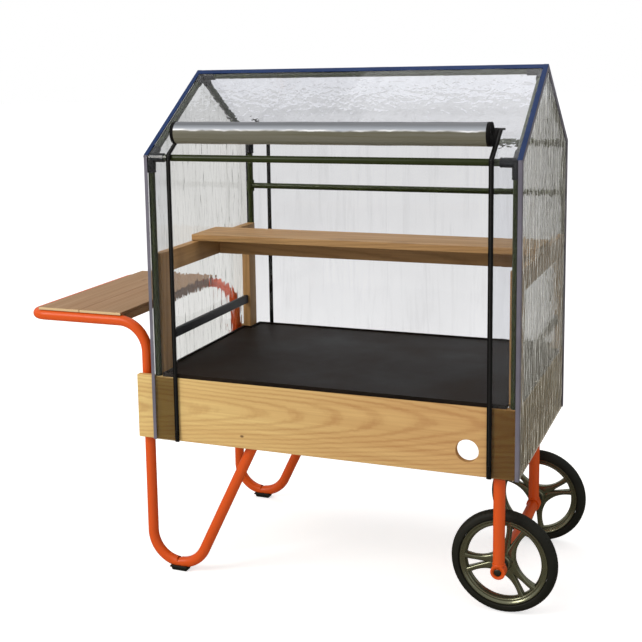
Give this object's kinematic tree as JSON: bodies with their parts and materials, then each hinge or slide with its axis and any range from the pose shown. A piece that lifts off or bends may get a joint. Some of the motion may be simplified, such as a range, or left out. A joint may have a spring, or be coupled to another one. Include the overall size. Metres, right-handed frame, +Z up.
{
  "type": "wheelbarrow",
  "caption": "Wheelbarrow-style greenhouse cart: bent-tube chassis with handle loop and wheels, wooden box with tray, shelf and zipped clear cover.",
  "frame": {"origin": "on the ground, under the middle of the cart's overall length and depth", "axes": "+X from the handle to the wheels, -Y towards the door side, +Z up"},
  "size_m": [1.433, 0.6572, 1.324],
  "materials": {
    "orange_paint": "gloss powder coat on bent steel tube",
    "foot_rubber": "matt black rubber",
    "dark_steel": "blackened steel",
    "tyre_rubber": "black tread rubber",
    "rim_gunmetal": "satin gunmetal",
    "pine": "planed light pine",
    "frame_wood": "stained softwood",
    "shelf_wood": "weathered softwood",
    "tray_plastic": "black moulded plastic, slightly glossy",
    "black_bar": "black lacquer",
    "dark_tube": "dark olive coated tube",
    "connector_plastic": "black moulded plastic",
    "clear_film": "clear wrinkled film with dark welded edges",
    "rolled_film": "many layers of clear film rolled together",
    "zip_black": "black moulded zip parts and woven tape"
  },
  "bodies": {
    "cart": {"handle_tube": "orange_paint", "front_leg_tube": "orange_paint", "rear_leg_tube": "orange_paint", "carrier_crossbar": "orange_paint", "rear_wheel_leg": "orange_paint", "axle_sleeve": "orange_paint", "front_foot_pad": "foot_rubber", "rear_foot_pad": "foot_rubber", "axle": "dark_steel", "front_board": "pine", "rear_board": "pine", "left_end_board": "pine", "right_end_board": "pine", "front_left_post": "frame_wood", "rear_left_post": "frame_wood", "front_right_post": "frame_wood", "rear_right_post": "frame_wood", "left_side_rail": "frame_wood", "right_side_rail": "frame_wood", "shelf_cross_rail": "frame_wood", "shelf_plank": "frame_wood", "tray": "tray_plastic", "tray_bearer": "frame_wood", "left_side_bar": "black_bar", "right_side_bar": "black_bar", "side_shelf_plank_1": "shelf_wood", "side_shelf_plank_2": "shelf_wood", "side_shelf_batten": "shelf_wood", "front_left_tube_post": "dark_tube", "rear_left_tube_post": "dark_tube", "front_right_tube_post": "dark_tube", "rear_right_tube_post": "dark_tube", "front_left_rafter": "dark_tube", "rear_left_rafter": "dark_tube", "front_right_rafter": "dark_tube", "rear_right_rafter": "dark_tube", "front_eave_tube": "dark_tube", "rear_eave_tube": "dark_tube", "ridge_tube": "dark_tube", "rear_cross_rail": "dark_tube", "front_left_connector": "connector_plastic", "rear_left_connector": "connector_plastic", "front_right_connector": "connector_plastic", "rear_right_connector": "connector_plastic", "left_ridge_connector": "connector_plastic", "right_ridge_connector": "connector_plastic", "cover_left": "clear_film", "cover_right": "clear_film", "cover_front": "clear_film", "cover_rear": "clear_film", "flap_roll": "rolled_film"},
    "front_wheel": {"front_tyre": "tyre_rubber", "front_rim": "rim_gunmetal"},
    "rear_wheel": {"rear_tyre": "tyre_rubber", "rear_rim": "rim_gunmetal"},
    "front_left_zip": {"front_left_zip_slider": "zip_black"},
    "front_right_zip": {"front_right_zip_slider": "zip_black"},
    "rear_left_zip": {"rear_left_zip_slider": "zip_black"},
    "rear_right_zip": {"rear_right_zip_slider": "zip_black"}
  },
  "joints": [
    {"name": "front_wheel_spin", "type": "hinge", "parent": "cart", "child": "front_wheel", "pos_m": [0.5865, -0.22, 0.13], "axis": [0, 1, 0], "continuous": true},
    {"name": "rear_wheel_spin", "type": "hinge", "parent": "cart", "child": "rear_wheel", "pos_m": [0.5865, 0.245, 0.13], "axis": [0, 1, 0], "continuous": true},
    {"name": "front_left_zip_slide", "type": "slide", "parent": "cart", "child": "front_left_zip", "axis": [0, 0, 1], "range_m": [0, 0.7]},
    {"name": "front_right_zip_slide", "type": "slide", "parent": "cart", "child": "front_right_zip", "axis": [0, 0, 1], "range_m": [0, 0.7]},
    {"name": "rear_left_zip_slide", "type": "slide", "parent": "cart", "child": "rear_left_zip", "axis": [0, 0, 1], "range_m": [0, 0.7]},
    {"name": "rear_right_zip_slide", "type": "slide", "parent": "cart", "child": "rear_right_zip", "axis": [0, 0, 1], "range_m": [0, 0.7]}
  ]
}
